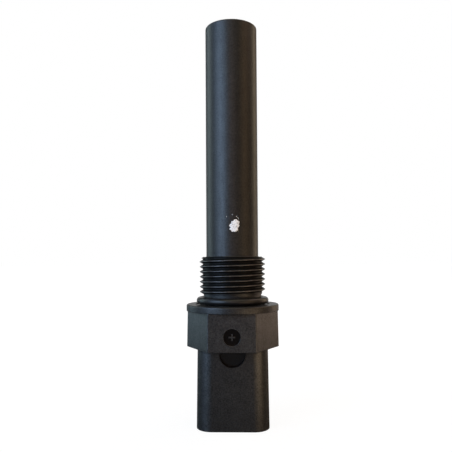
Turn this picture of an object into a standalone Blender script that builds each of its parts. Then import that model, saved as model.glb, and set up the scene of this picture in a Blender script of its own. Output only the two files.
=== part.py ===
"""Screw-in wheel speed sensor with a two-pin socket.

The sensor stands on the rim of its socket, with its axis on +Z and the sensing tip on top.
Right is +X and the flat of the hexagon with the mould mark faces -Y.
"""

import math

import bmesh
import bpy
from mathutils import Matrix, Vector

MM = 0.001

# Room between two pieces that seat on or in each other
FIT = 0.3 * MM

# Lengths along the axis, from the socket's rim up to the sensing tip
SHROUD_LENGTH = 23.8 * MM
HEX_HEIGHT = 10.97 * MM
COLLAR_HEIGHT = 2.0 * MM
NECK_LENGTH = 3.0 * MM
THREAD_LENGTH = 11.13 * MM
BARREL_LENGTH = 68.7 * MM

# Barrel
BARREL_DIAMETER = 15.66 * MM
BARREL_TIP_DIAMETER = 15.42 * MM
BARREL_FOOT_FILLET = 0.3 * MM
TIP_ROUNDING = 0.35 * MM
TIP_WALL = 1.2 * MM
BORE_DIAMETER = 10.0 * MM

# Moulded M20 x 1.5 thread
THREAD_DIAMETER = 19.76 * MM
THREAD_PITCH = 1.5 * MM
THREAD_DEPTH = 0.92 * MM
THREAD_CREST = 0.19 * MM
THREAD_LEAD_IN = 0.75 * MM
THREAD_RUN_OUT = 0.55 * MM
THREAD_START_RISE = 0.28 * MM
THREAD_START_ANGLE = math.radians(90)
THREAD_FLANK_ANGLE = math.radians(30)
THREAD_TRIM_SPARE = 0.2 * MM

# Neck, groove of the sealing ring and seating collar
NECK_DIAMETER = 17.41 * MM
GROOVE_DIAMETER = 16.7 * MM
RING_SECTION = 2.2 * MM
RING_SEAT_DEPTH = 0.3 * MM
COLLAR_DIAMETER = 27.76 * MM
COLLAR_CHAMFER = 0.35 * MM
COLLAR_LOWER_CHAMFER = 0.15 * MM

# Hexagon, with its moulding draft and its round mould mark
HEX_ACROSS_FLATS = 24.12 * MM
HEX_DRAFT = 0.2 * MM
HEX_EDGE = 0.2 * MM
MARK_DIAMETER = 4.9 * MM
MARK_DEPTH = 0.5 * MM
MARK_HEIGHT = 4.35 * MM

# Shroud of the socket, with its draft on each side
SHROUD_WIDTH = 21.68 * MM
SHROUD_DEPTH = 14.3 * MM
SHROUD_DRAFT = 0.34 * MM
SHROUD_CORNER = 4.7 * MM
SHROUD_WALL = 1.75 * MM
RIM_ROUNDING = 0.2 * MM
MOUTH_CHAMFER = 0.3 * MM
FLOOR_RISE = 1.7 * MM
WINDOW_WIDTH = 7.7 * MM
WINDOW_HEIGHT = 5.2 * MM

# Pin header, whose block fills the socket behind the latch window, and contact pins
HEADER_BLOCK = 7.8 * MM
HEADER_BOSS = 7.5 * MM
PIN_PITCH = 6.0 * MM
PIN_DIAMETER = 1.6 * MM
PIN_NOSE = 0.4 * MM
PIN_INSET = 10.0 * MM
PIN_SHOULDER_DIAMETER = 2.4 * MM
PIN_SHOULDER_LENGTH = 2.4 * MM
TAIL_DIAMETER = 1.2 * MM
TAIL_LENGTH = 11.0 * MM
EPOXY_LENGTH = 4.7 * MM

# Leads and the shrink sleeves over their joints
WIRE_DIAMETER = 1.2 * MM
WIRE_SLOT_CORNER = 1.3 * MM
SLEEVE_WALL = 0.25 * MM
SLEEVE_LENGTH = 11.0 * MM

# Core: bobbin, coil, magnet, iron pieces and coil posts
BOBBIN_FLANGE = 1.2 * MM
BOBBIN_ROOF = 1.5 * MM
COIL_LENGTH = 19.4 * MM
COIL_DIAMETER = 8.0 * MM
TAPE_THICKNESS = 0.3 * MM
SPOOL_WALL = 0.6 * MM
POLE_DIAMETER = 3.0 * MM
POLE_CHAMFER = 0.3 * MM
MAGNET_DIAMETER = 4.4 * MM
MAGNET_LENGTH = 8.0 * MM
BACK_IRON_LENGTH = 2.0 * MM
POST_SPACING = 7.0 * MM
POST_DIAMETER = 0.6 * MM
POST_REACH = 5.5 * MM

# Fineness of the round shapes
BODY_STEPS = 60
BORE_STEPS = 36
RING_SEGMENTS = 10
PIN_STEPS = 20
WIRE_POINTS = 12
CORNER_SEGMENTS = 8
EDGE_SEGMENTS = 3
MERGE = 0.00001

# How far a cutter runs past the surface that it opens
PAST = 1.0 * MM

# Heights that follow from the lengths
HEX_BASE = SHROUD_LENGTH
COLLAR_BASE = HEX_BASE + HEX_HEIGHT
SEAT_Z = COLLAR_BASE + COLLAR_HEIGHT
THREAD_BASE = SEAT_Z + NECK_LENGTH
THREAD_TOP = THREAD_BASE + THREAD_LENGTH
TIP_Z = THREAD_TOP + BARREL_LENGTH
BORE_TOP = TIP_Z - TIP_WALL
FLOOR_Z = HEX_BASE + FLOOR_RISE
HEADER_TOP = FLOOR_Z + HEADER_BOSS
EPOXY_BASE = HEADER_TOP + FIT
EPOXY_TOP = EPOXY_BASE + EPOXY_LENGTH
CARRIER_BASE = EPOXY_TOP + FIT
TAIL_TOP = HEADER_TOP - FIT + TAIL_LENGTH
BOBBIN_TOP = BORE_TOP - FIT
COIL_TOP = BOBBIN_TOP - BOBBIN_FLANGE - FIT
COIL_BASE = COIL_TOP - COIL_LENGTH
ROOF_TOP = COIL_BASE - FIT
ROOF_Z = ROOF_TOP - BOBBIN_ROOF
MAGNET_TOP = ROOF_Z - FIT
MAGNET_BASE = MAGNET_TOP - MAGNET_LENGTH
BACK_IRON_TOP = MAGNET_BASE - FIT
BOBBIN_BASE = BACK_IRON_TOP - BACK_IRON_LENGTH
CARRIER_TOP = BOBBIN_BASE - FIT
POST_BASE = BOBBIN_BASE - POST_REACH

# Radii that follow from the diameters
CORE_RADIUS = BORE_DIAMETER / 2 - FIT
THREAD_RADIUS = THREAD_DIAMETER / 2
ROOT_RADIUS = THREAD_RADIUS - THREAD_DEPTH
RING_CENTRE_RADIUS = GROOVE_DIAMETER / 2 + FIT + RING_SECTION / 2
RING_SEAT_RADIUS = RING_CENTRE_RADIUS + RING_SECTION / 2 + FIT
RING_Z = SEAT_Z - RING_SEAT_DEPTH + FIT + RING_SECTION / 2
SPOOL_RADIUS = POLE_DIAMETER / 2 + FIT + SPOOL_WALL
SLEEVE_BORE_RADIUS = max(WIRE_DIAMETER, TAIL_DIAMETER) / 2 + FIT
SLEEVE_RADIUS = SLEEVE_BORE_RADIUS + SLEEVE_WALL

PRODUCT = bpy.data.collections.new("wheel_speed_sensor")
CUTTERS = bpy.data.collections.new("cutters")


def clear_scene():
    for old in list(bpy.data.objects):
        bpy.data.objects.remove(old, do_unlink=True)
    bpy.context.scene.collection.children.link(PRODUCT)
    bpy.context.scene.collection.children.link(CUTTERS)


def finish(name, colour, roughness, metallic=0.0):
    """A plain material in the piece's own colour."""
    made = bpy.data.materials.new(name)
    made.use_nodes = True
    shader = made.node_tree.nodes["Principled BSDF"]
    shader.inputs["Base Color"].default_value = (*colour, 1.0)
    shader.inputs["Roughness"].default_value = roughness
    shader.inputs["Metallic"].default_value = metallic
    made.diffuse_color = (*colour, 1.0)
    return made


def add_object(name, data, collection):
    made = bpy.data.objects.new(name, data)
    collection.objects.link(made)
    if collection is CUTTERS:
        made.hide_render = True
        made.display_type = "WIRE"
    return made


def add_mesh(name, bm, collection):
    mesh = bpy.data.meshes.new(name)
    bm.to_mesh(mesh)
    bm.free()
    return add_object(name, mesh, collection)


def round_off(piece, material, angle=math.radians(35)):
    """Gives the piece its material and smooth shading between its sharp edges."""
    piece.data.materials.append(material)
    piece.data.shade_smooth()
    if not piece.data.polygons:
        return piece
    piece.data.set_sharp_from_angle(angle=angle)
    return piece


def turned(name, profile, steps, collection=PRODUCT, x=0.0):
    """A turned solid from (radius, height) points that run down its outer side."""
    mesh = bpy.data.meshes.new(name)
    points = [(radius, 0.0, height) for radius, height in profile]
    edges = [(i, i + 1) for i in range(len(points) - 1)]
    mesh.from_pydata(points, edges, [])
    made = add_object(name, mesh, collection)
    made.location.x = x
    screw = made.modifiers.new("turn", "SCREW")
    screw.steps = steps
    screw.render_steps = steps
    screw.use_merge_vertices = True
    screw.merge_threshold = MERGE
    screw.use_smooth_shade = True
    return made


def rod(name, radius, base, top, steps, collection=PRODUCT, x=0.0):
    profile = [(0.0, top), (radius, top), (radius, base), (0.0, base)]
    return turned(name, profile, steps, collection, x)


def tube(name, inner, outer, base, top, steps, x=0.0):
    profile = [(inner, base), (inner, top), (outer, top), (outer, base), (inner, base)]
    return turned(name, profile, steps, PRODUCT, x)


def tapered_box(name, low, high, base, top, corner, collection, rim=0.0):
    """A box with rounded upright edges, from its (width, depth) at the base and at the top."""
    bm = bmesh.new()
    bmesh.ops.create_cube(bm, size=2.0)
    for vert in bm.verts:
        width, depth = high if vert.co.z > 0 else low
        vert.co.x *= width / 2
        vert.co.y *= depth / 2
        vert.co.z = top if vert.co.z > 0 else base
    upright = [e for e in bm.edges if abs(e.verts[0].co.z - e.verts[1].co.z) > MERGE]
    bmesh.ops.bevel(bm, geom=upright, offset=corner, segments=CORNER_SEGMENTS, profile=0.5, affect="EDGES")
    if rim:
        lowest = [e for e in bm.edges if all(v.co.z < base + MERGE for v in e.verts)]
        bmesh.ops.bevel(bm, geom=lowest, offset=rim, segments=EDGE_SEGMENTS, profile=0.5, affect="EDGES")
    return add_mesh(name, bm, collection)


def combine(target, tool, operation):
    change = target.modifiers.new(tool.name, "BOOLEAN")
    change.operation = operation
    change.solver = "EXACT"
    change.object = tool


def cut(target, *tools):
    for tool in tools:
        combine(target, tool, "DIFFERENCE")


def join(target, *tools):
    for tool in tools:
        combine(target, tool, "UNION")


def baked(source, name, collection):
    """A plain mesh object with the source's modifiers worked in; the source is removed."""
    graph = bpy.context.evaluated_depsgraph_get()
    graph.update()
    mesh = bpy.data.meshes.new_from_object(source.evaluated_get(graph))
    made = add_object(name, mesh, collection)
    made.matrix_world = source.matrix_world
    bpy.data.objects.remove(source, do_unlink=True)
    return made


def arc(centre_radius, centre_height, radius, start, end, count):
    """Points on an arc in the profile's plane, between two angles in degrees."""
    points = []
    for i in range(count + 1):
        angle = math.radians(start + (end - start) * i / count)
        points.append((centre_radius + radius * math.cos(angle), centre_height + radius * math.sin(angle)))
    return points


def shroud_size(height, inset=0.0):
    """Width and depth of the shroud at a height, with each side moved in by the inset."""
    narrowed = 2 * (SHROUD_DRAFT * height / SHROUD_LENGTH + inset)
    return SHROUD_WIDTH - narrowed, SHROUD_DEPTH - narrowed


def housing_profile():
    """Outer outline of the barrel, the core inside the thread, neck, ring groove and collar."""
    tip = BARREL_TIP_DIAMETER / 2
    barrel = BARREL_DIAMETER / 2
    neck = NECK_DIAMETER / 2
    groove = GROOVE_DIAMETER / 2
    collar = COLLAR_DIAMETER / 2
    seat_floor = SEAT_Z - RING_SEAT_DEPTH
    groove_top = RING_Z + RING_SECTION / 2 + FIT
    foot = barrel + BARREL_FOOT_FILLET
    points = [(0.0, TIP_Z)]
    points += arc(tip - TIP_ROUNDING, TIP_Z - TIP_ROUNDING, TIP_ROUNDING, 90, 0, EDGE_SEGMENTS)
    points += arc(foot, THREAD_TOP + BARREL_FOOT_FILLET, BARREL_FOOT_FILLET, 180, 270, EDGE_SEGMENTS)
    points += [
        (foot, THREAD_TOP - THREAD_LEAD_IN),
        (neck, THREAD_TOP - THREAD_LEAD_IN),
        (neck, groove_top),
        (groove, groove_top - (neck - groove)),
        (groove, seat_floor),
        (RING_SEAT_RADIUS, seat_floor),
        (RING_SEAT_RADIUS, SEAT_Z),
        (collar - COLLAR_CHAMFER, SEAT_Z),
        (collar, SEAT_Z - COLLAR_CHAMFER),
        (collar, COLLAR_BASE + COLLAR_LOWER_CHAMFER),
        (collar - COLLAR_LOWER_CHAMFER, COLLAR_BASE),
        (0.0, COLLAR_BASE),
    ]
    return points


def close_thread_end(bm, edges):
    """Closes one end of the helical surface with a fan to the axis."""
    heights = [vert.co.z for edge in edges for vert in edge.verts]
    grown = bmesh.ops.extrude_edge_only(bm, edges=edges)["geom"]
    centre = Vector((0, 0, sum(heights) / len(heights)))
    bmesh.ops.pointmerge(bm, verts=[v for v in grown if isinstance(v, bmesh.types.BMVert)], merge_co=centre)


def threaded_sleeve():
    """The thread and its root: one pitch of outline carried up a helix, then trimmed at both ends."""
    half_tooth = THREAD_CREST / 2 + THREAD_DEPTH * math.tan(THREAD_FLANK_ANGLE)
    start = THREAD_BASE + THREAD_START_RISE
    section = [
        (ROOT_RADIUS, start + THREAD_PITCH - half_tooth),
        (ROOT_RADIUS, start + half_tooth),
        (THREAD_RADIUS, start + THREAD_CREST / 2),
        (THREAD_RADIUS, start - THREAD_CREST / 2),
        (ROOT_RADIUS, start - half_tooth),
    ]
    helix = turned("thread_section", section, BODY_STEPS, CUTTERS)
    screw = helix.modifiers["turn"]
    screw.screw_offset = THREAD_PITCH
    screw.iterations = math.ceil(THREAD_LENGTH / THREAD_PITCH) + 2
    weld = helix.modifiers.new("join_turns", "WELD")
    weld.merge_threshold = MERGE
    sleeve = baked(helix, "threaded_sleeve", CUTTERS)

    bm = bmesh.new()
    bm.from_mesh(sleeve.data)
    open_edges = [e for e in bm.edges if e.is_boundary]
    middle = (THREAD_BASE + THREAD_TOP) / 2
    close_thread_end(bm, [e for e in open_edges if e.verts[0].co.z < middle])
    close_thread_end(bm, [e for e in open_edges if e.verts[0].co.z > middle])
    bmesh.ops.rotate(bm, verts=bm.verts, matrix=Matrix.Rotation(THREAD_START_ANGLE, 3, "Z"))
    bmesh.ops.recalc_face_normals(bm, faces=bm.faces)
    bm.to_mesh(sleeve.data)
    bm.free()

    over = THREAD_RADIUS + THREAD_TRIM_SPARE
    trim = turned(
        "thread_trim",
        [
            (0.0, THREAD_TOP),
            (ROOT_RADIUS - THREAD_TRIM_SPARE, THREAD_TOP),
            (over, THREAD_TOP - THREAD_LEAD_IN),
            (over, THREAD_BASE + THREAD_RUN_OUT),
            (ROOT_RADIUS - THREAD_TRIM_SPARE, THREAD_BASE),
            (0.0, THREAD_BASE),
        ],
        BODY_STEPS,
        CUTTERS,
    )
    trim.rotation_euler.z = math.pi / BODY_STEPS
    combine(sleeve, trim, "INTERSECT")
    return sleeve


def hexagon():
    """The spanner hexagon, narrower at its top and run up into the collar, a flat towards -Y."""
    bm = bmesh.new()
    to_corner = 1 / math.cos(math.radians(30))
    height = HEX_HEIGHT + COLLAR_HEIGHT / 2
    low = HEX_ACROSS_FLATS / 2 * to_corner
    high = low - HEX_DRAFT * to_corner * height / HEX_HEIGHT
    bmesh.ops.create_cone(
        bm,
        cap_ends=True,
        segments=6,
        radius1=low,
        radius2=high,
        depth=height,
        matrix=Matrix.Translation((0, 0, HEX_BASE + height / 2)) @ Matrix.Rotation(math.radians(90), 4, "Z"),
    )
    edges = [e for e in bm.edges if any(v.co.z < HEX_BASE + MERGE for v in e.verts)]
    bmesh.ops.bevel(bm, geom=edges, offset=HEX_EDGE, segments=2, profile=0.5, affect="EDGES")
    return add_mesh("hexagon", bm, CUTTERS)


def shroud():
    """The outside of the socket, from its rounded rim up into the hexagon."""
    top = HEX_BASE + FLOOR_RISE
    return tapered_box(
        "shroud", shroud_size(0.0), shroud_size(top), 0.0, top, SHROUD_CORNER, CUTTERS, rim=RIM_ROUNDING
    )


def socket():
    """The hollow of the socket, and the small chamfer round its mouth."""
    corner = SHROUD_CORNER - SHROUD_WALL
    hollow = tapered_box(
        "socket",
        shroud_size(-PAST, SHROUD_WALL),
        shroud_size(FLOOR_Z, SHROUD_WALL),
        -PAST,
        FLOOR_Z,
        corner,
        CUTTERS,
    )
    mouth = tapered_box(
        "socket_mouth",
        shroud_size(0.0, SHROUD_WALL - MOUTH_CHAMFER - PAST),
        shroud_size(0.0, SHROUD_WALL + MOUTH_CHAMFER),
        -PAST,
        2 * MOUTH_CHAMFER,
        corner,
        CUTTERS,
    )
    return hollow, mouth


def bore():
    return rod("bore", BORE_DIAMETER / 2, FLOOR_Z - PAST, BORE_TOP, BODY_STEPS, CUTTERS)


def latch_window():
    """A U-shaped cutter through the front wall, flush with the hexagon's underside."""
    radius = WINDOW_WIDTH / 2
    centre = HEX_BASE - WINDOW_HEIGHT + radius
    outline = arc(0.0, centre, radius, 180, 360, 4 * CORNER_SEGMENTS)
    outline += [(radius, HEX_BASE), (-radius, HEX_BASE)]
    bm = bmesh.new()
    outside = -SHROUD_DEPTH / 2 - PAST
    inside = -SHROUD_DEPTH / 2 + SHROUD_DRAFT + SHROUD_WALL + PAST
    verts = [bm.verts.new((x, outside, z)) for x, z in outline]
    bm.faces.new(verts)
    swept = bmesh.ops.extrude_face_region(bm, geom=bm.faces[:])["geom"]
    moved = [item for item in swept if isinstance(item, bmesh.types.BMVert)]
    bmesh.ops.translate(bm, verts=moved, vec=Vector((0, inside - outside, 0)))
    bmesh.ops.recalc_face_normals(bm, faces=bm.faces)
    return add_mesh("latch_window", bm, CUTTERS)


def mould_mark():
    """The round recess that a mould insert leaves in the front flat."""
    face = HEX_ACROSS_FLATS / 2 - HEX_DRAFT * MARK_HEIGHT / HEX_HEIGHT
    bm = bmesh.new()
    bmesh.ops.create_cone(
        bm,
        cap_ends=True,
        segments=BORE_STEPS,
        radius1=MARK_DIAMETER / 2,
        radius2=MARK_DIAMETER / 2,
        depth=MARK_DEPTH + PAST,
        matrix=Matrix.Translation((0, -face + MARK_DEPTH / 2 - PAST / 2, HEX_BASE + MARK_HEIGHT))
        @ Matrix.Rotation(math.radians(90), 4, "X"),
    )
    return add_mesh("mould_mark", bm, CUTTERS)


def build_housing(nylon):
    """Barrel, thread, collar, hexagon and socket: one moulding."""
    body = turned("housing", housing_profile(), BODY_STEPS)
    join(body, threaded_sleeve(), hexagon(), shroud())
    cut(body, *socket(), bore(), latch_window(), mould_mark())
    return round_off(body, nylon)


def build_seal_ring(rubber):
    bpy.ops.mesh.primitive_torus_add(
        major_radius=RING_CENTRE_RADIUS,
        minor_radius=RING_SECTION / 2,
        major_segments=BODY_STEPS,
        minor_segments=RING_SEGMENTS,
        location=(0, 0, RING_Z),
    )
    ring = bpy.context.active_object
    ring.name = "seal_ring"
    for holder in list(ring.users_collection):
        holder.objects.unlink(ring)
    PRODUCT.objects.link(ring)
    return round_off(ring, rubber)


def build_pin_header(nylon):
    """A block on the socket's floor and a boss in the bore, with two stepped pin holes."""
    block_top = FLOOR_Z - FIT
    block_base = block_top - HEADER_BLOCK
    corner = SHROUD_CORNER - SHROUD_WALL - FIT
    header = tapered_box(
        "pin_header",
        shroud_size(block_base, SHROUD_WALL + FIT),
        shroud_size(block_top, SHROUD_WALL + FIT),
        block_base,
        block_top,
        corner,
        PRODUCT,
    )
    boss = rod("header_boss", CORE_RADIUS, block_base + HEADER_BLOCK / 2, HEADER_TOP, BORE_STEPS, CUTTERS)
    join(header, boss)
    for side, x in sides(PIN_PITCH):
        hole = rod(f"pin_hole_{side}", PIN_DIAMETER / 2 + FIT, block_base - PAST, HEADER_TOP + PAST,
                   PIN_STEPS, CUTTERS, x)
        step_z = HEADER_TOP - PIN_SHOULDER_LENGTH - 2 * FIT
        step = rod(f"pin_step_{side}", PIN_SHOULDER_DIAMETER / 2 + FIT, step_z, HEADER_TOP + PAST,
                   PIN_STEPS, CUTTERS, x)
        cut(header, hole, step)
    return round_off(header, nylon)


def sides(spacing):
    return (("left", -spacing / 2), ("right", spacing / 2))


def build_contact_pins(tin):
    """Two turned pins: rounded tip in the socket, shoulder in the header, tail to the lead."""
    radius = PIN_DIAMETER / 2
    shoulder = PIN_SHOULDER_DIAMETER / 2
    tail = TAIL_DIAMETER / 2
    shoulder_top = HEADER_TOP - FIT
    shoulder_base = shoulder_top - PIN_SHOULDER_LENGTH
    for side, x in sides(PIN_PITCH):
        profile = [
            (0.0, TAIL_TOP),
            (tail, TAIL_TOP),
            (tail, shoulder_top),
            (shoulder, shoulder_top),
            (shoulder, shoulder_base),
            (radius, shoulder_base),
        ]
        profile += arc(radius - PIN_NOSE, PIN_INSET + PIN_NOSE, PIN_NOSE, 0, -90, EDGE_SEGMENTS)
        profile.append((0.0, PIN_INSET))
        round_off(turned(f"contact_pin_{side}", profile, PIN_STEPS, x=x), tin)


def build_epoxy_seal(epoxy):
    plug = rod("epoxy_seal", CORE_RADIUS, EPOXY_BASE, EPOXY_TOP, BORE_STEPS)
    for side, x in sides(PIN_PITCH):
        hole = rod(f"tail_hole_{side}", TAIL_DIAMETER / 2 + FIT, EPOXY_BASE - PAST, EPOXY_TOP + PAST,
                   PIN_STEPS, CUTTERS, x)
        cut(plug, hole)
    return round_off(plug, epoxy)


def build_wire_carrier(nylon):
    """A spacer between the epoxy and the core, with an open slot for the lead on each side."""
    carrier = rod("wire_carrier", CORE_RADIUS, CARRIER_BASE, CARRIER_TOP, BORE_STEPS)
    slot_width = 2 * (SLEEVE_RADIUS + FIT)
    inner = min(PIN_PITCH, POST_SPACING) / 2 - SLEEVE_RADIUS - FIT
    outer = BORE_DIAMETER / 2 + slot_width
    for side, sign in (("left", -1), ("right", 1)):
        size = (outer - inner, slot_width)
        slot = tapered_box(f"wire_slot_{side}", size, size, CARRIER_BASE - PAST, CARRIER_TOP + PAST,
                           WIRE_SLOT_CORNER, CUTTERS)
        slot.location.x = sign * (outer + inner) / 2
        cut(carrier, slot)
    return round_off(carrier, nylon)


def build_leads(insulation, shrink):
    """Two leads from the pin tails to the coil posts, with a sleeve over each of their joints."""
    base = TAIL_TOP + FIT
    top = POST_BASE - FIT
    low_sleeve_top = CARRIER_BASE + SLEEVE_LENGTH
    high_sleeve_base = BOBBIN_BASE - FIT - SLEEVE_LENGTH
    for side, sign in (("left", -1), ("right", 1)):
        low_x = sign * PIN_PITCH / 2
        high_x = sign * POST_SPACING / 2
        curve = bpy.data.curves.new(f"lead_{side}", "CURVE")
        curve.dimensions = "3D"
        curve.bevel_depth = WIRE_DIAMETER / 2
        curve.bevel_resolution = 2
        curve.use_fill_caps = True
        line = curve.splines.new("POLY")
        line.points.add(WIRE_POINTS - 1)
        for i, point in enumerate(line.points):
            z = base + (top - base) * i / (WIRE_POINTS - 1)
            share = (z - low_sleeve_top) / (high_sleeve_base - low_sleeve_top)
            share = min(max(share, 0.0), 1.0)
            share = share * share * (3 - 2 * share)
            point.co = (low_x + (high_x - low_x) * share, 0.0, z, 1.0)
        curve.materials.append(insulation)
        add_object(f"lead_{side}", curve, PRODUCT)
        ends = (("pin", low_x, CARRIER_BASE, low_sleeve_top), ("post", high_x, high_sleeve_base, BOBBIN_BASE - FIT))
        for end, x, low, high in ends:
            sleeve = tube(f"{end}_sleeve_{side}", SLEEVE_BORE_RADIUS, SLEEVE_RADIUS, low, high, PIN_STEPS, x)
            round_off(sleeve, shrink)


def build_bobbin(nylon):
    """The spool of the coil, with a cup below it for the magnet and its back iron."""
    pole_hole = POLE_DIAMETER / 2 + FIT
    cup = MAGNET_DIAMETER / 2 + FIT
    profile = [
        (pole_hole, ROOF_Z),
        (pole_hole, BOBBIN_TOP),
        (CORE_RADIUS, BOBBIN_TOP),
        (CORE_RADIUS, BOBBIN_TOP - BOBBIN_FLANGE),
        (SPOOL_RADIUS, BOBBIN_TOP - BOBBIN_FLANGE),
        (SPOOL_RADIUS, ROOF_TOP),
        (CORE_RADIUS, ROOF_TOP),
        (CORE_RADIUS, BOBBIN_BASE),
        (cup, BOBBIN_BASE),
        (cup, ROOF_Z),
        (pole_hole, ROOF_Z),
    ]
    bobbin = turned("bobbin", profile, BORE_STEPS)
    for side, x in sides(POST_SPACING):
        hole = rod(f"post_hole_{side}", POST_DIAMETER / 2 + FIT, BOBBIN_BASE - PAST, ROOF_TOP + FIT,
                   PIN_STEPS, CUTTERS, x)
        cut(bobbin, hole)
    return round_off(bobbin, nylon)


def build_coil(copper, polyester):
    winding = tube("coil_winding", SPOOL_RADIUS + FIT, COIL_DIAMETER / 2, COIL_BASE, COIL_TOP, BORE_STEPS)
    round_off(winding, copper)
    inner = COIL_DIAMETER / 2 + FIT
    tape = tube("coil_tape", inner, inner + TAPE_THICKNESS, COIL_BASE, COIL_TOP, BORE_STEPS)
    round_off(tape, polyester)


def build_magnetic_parts(iron, magnet_metal):
    """Pole piece in the spool, magnet behind it and the iron disc that closes the cup."""
    radius = POLE_DIAMETER / 2
    profile = [
        (0.0, BOBBIN_TOP),
        (radius - POLE_CHAMFER, BOBBIN_TOP),
        (radius, BOBBIN_TOP - POLE_CHAMFER),
        (radius, ROOF_Z),
        (0.0, ROOF_Z),
    ]
    round_off(turned("pole_piece", profile, BORE_STEPS), iron)
    round_off(rod("magnet", MAGNET_DIAMETER / 2, MAGNET_BASE, MAGNET_TOP, BORE_STEPS), magnet_metal)
    round_off(rod("back_iron", MAGNET_DIAMETER / 2, BOBBIN_BASE, BACK_IRON_TOP, BORE_STEPS), iron)


def build_coil_posts(brass):
    for side, x in sides(POST_SPACING):
        round_off(rod(f"coil_post_{side}", POST_DIAMETER / 2, POST_BASE, ROOF_TOP, PIN_STEPS, x=x), brass)


def main():
    clear_scene()
    nylon = finish("glass_filled_nylon", (0.022, 0.022, 0.023), 0.5)
    inner_nylon = finish("inner_nylon", (0.03, 0.03, 0.032), 0.55)
    rubber = finish("nitrile_rubber", (0.02, 0.02, 0.02), 0.6)
    tin = finish("tinned_brass", (0.75, 0.72, 0.65), 0.3, 1.0)
    epoxy = finish("epoxy", (0.03, 0.028, 0.026), 0.35)
    insulation = finish("lead_insulation", (0.35, 0.33, 0.3), 0.5)
    shrink = finish("shrink_sleeve", (0.03, 0.03, 0.03), 0.6)
    copper = finish("enamelled_copper", (0.55, 0.22, 0.09), 0.35, 1.0)
    polyester = finish("polyester_tape", (0.6, 0.45, 0.1), 0.4)
    iron = finish("soft_iron", (0.4, 0.39, 0.38), 0.4, 1.0)
    magnet_metal = finish("nickel_plated_magnet", (0.6, 0.58, 0.55), 0.25, 1.0)
    brass = finish("brass", (0.7, 0.52, 0.22), 0.3, 1.0)

    build_housing(nylon)
    build_seal_ring(rubber)
    build_pin_header(inner_nylon)
    build_contact_pins(tin)
    build_epoxy_seal(epoxy)
    build_wire_carrier(inner_nylon)
    build_leads(insulation, shrink)
    build_bobbin(inner_nylon)
    build_coil(copper, polyester)
    build_magnetic_parts(iron, magnet_metal)
    build_coil_posts(brass)


main()
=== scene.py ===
"""Looks of the screw-in wheel speed sensor: a grained nylon moulding with a fine thread, its
sealing ring, the two-pin socket and a dab of inspection paint, in front of plain white."""

import math

import bmesh
import bpy
from mathutils import Matrix, Vector, noise


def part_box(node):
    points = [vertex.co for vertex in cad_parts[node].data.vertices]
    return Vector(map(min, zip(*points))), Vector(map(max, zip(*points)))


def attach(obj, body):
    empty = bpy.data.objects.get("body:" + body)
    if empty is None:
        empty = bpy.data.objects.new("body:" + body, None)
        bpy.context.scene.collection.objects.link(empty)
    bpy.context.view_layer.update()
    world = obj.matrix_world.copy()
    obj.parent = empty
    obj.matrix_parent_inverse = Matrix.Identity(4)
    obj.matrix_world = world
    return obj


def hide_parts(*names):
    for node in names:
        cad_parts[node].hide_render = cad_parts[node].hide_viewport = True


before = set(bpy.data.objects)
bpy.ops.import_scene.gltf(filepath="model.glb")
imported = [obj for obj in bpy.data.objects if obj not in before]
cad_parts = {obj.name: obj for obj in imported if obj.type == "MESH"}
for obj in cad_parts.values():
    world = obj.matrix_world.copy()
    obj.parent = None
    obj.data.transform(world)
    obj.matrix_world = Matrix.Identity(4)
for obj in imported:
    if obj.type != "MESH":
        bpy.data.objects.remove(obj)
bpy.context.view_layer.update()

MM = 0.001
BODY = "root"

# Heights above the socket's rim, in metres, as the frame has them
TIP_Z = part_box("housing")[1].z
HEX_BASE = 23.8 * MM
COLLAR_BASE = 34.77 * MM
SEAT_Z = 36.77 * MM
THREAD_BASE = 39.77 * MM
THREAD_TOP = 50.9 * MM
FLOOR_Z = 25.5 * MM
BORE_TOP = TIP_Z - 1.2 * MM

# Radii of the turned forms
TIP_RADIUS = 7.71 * MM
BARREL_RADIUS = 7.83 * MM
BORE_RADIUS = 5.0 * MM
ROOT_RADIUS = 8.96 * MM
CREST_RADIUS = 9.88 * MM
NECK_RADIUS = 8.705 * MM
GROOVE_RADIUS = 8.35 * MM
RING_SEAT_RADIUS = 11.15 * MM
COLLAR_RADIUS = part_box("housing")[1].x

# Thread: 1.5 mm pitch, 60 degree flanks, right-hand
PITCH = 1.5 * MM
FLANK_LEAN = math.radians(30)
CREST_WIDTH = 0.19 * MM
CREST_ROUNDING = 0.12 * MM
THREAD_START_RISE = 0.28 * MM
THREAD_START_ANGLE = math.radians(90)
THREAD_LEAD_IN = 0.75 * MM
THREAD_RUN_OUT = 0.55 * MM
# The swept outline's crest points away from the axis at this turn
PROFILE_TURN = math.radians(-90)

# Hexagon, shroud and the openings in them
HEX_HALF_FLATS = 12.06 * MM
HEX_DRAFT = 0.2 * MM
HEX_EASING = 0.22 * MM
SHROUD_WIDTH = 21.68 * MM
SHROUD_DEPTH = 14.3 * MM
SHROUD_DRAFT = 0.34 * MM
SHROUD_CORNER = 4.7 * MM
SHROUD_WALL = 1.75 * MM
RIM_ROUNDING = 0.2 * MM
MOUTH_CHAMFER = 0.3 * MM
WINDOW_WIDTH = 7.7 * MM
WINDOW_HEIGHT = 5.2 * MM

# Mould mark: a round recess in the hexagon's front flat, with a plain cross on its floor
MARK_RADIUS = 2.45 * MM
MARK_DEPTH = 0.5 * MM
MARK_HEIGHT = 4.35 * MM
MARK_FACE_Y = -(HEX_HALF_FLATS - HEX_DRAFT * MARK_HEIGHT / (COLLAR_BASE - HEX_BASE))
MARK_FLOOR_Y = MARK_FACE_Y + MARK_DEPTH
CROSS_HALF_LENGTH = 0.95 * MM
CROSS_HALF_WIDTH = 0.21 * MM
CROSS_RISE = 0.28 * MM
CROSS_ROOT = 0.08 * MM

# Inspection paint on the barrel
DAB_HEIGHT = 59.83 * MM
DAB_ANGLE = math.radians(-83.8)
DAB_THICKNESS = 0.08 * MM
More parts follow.
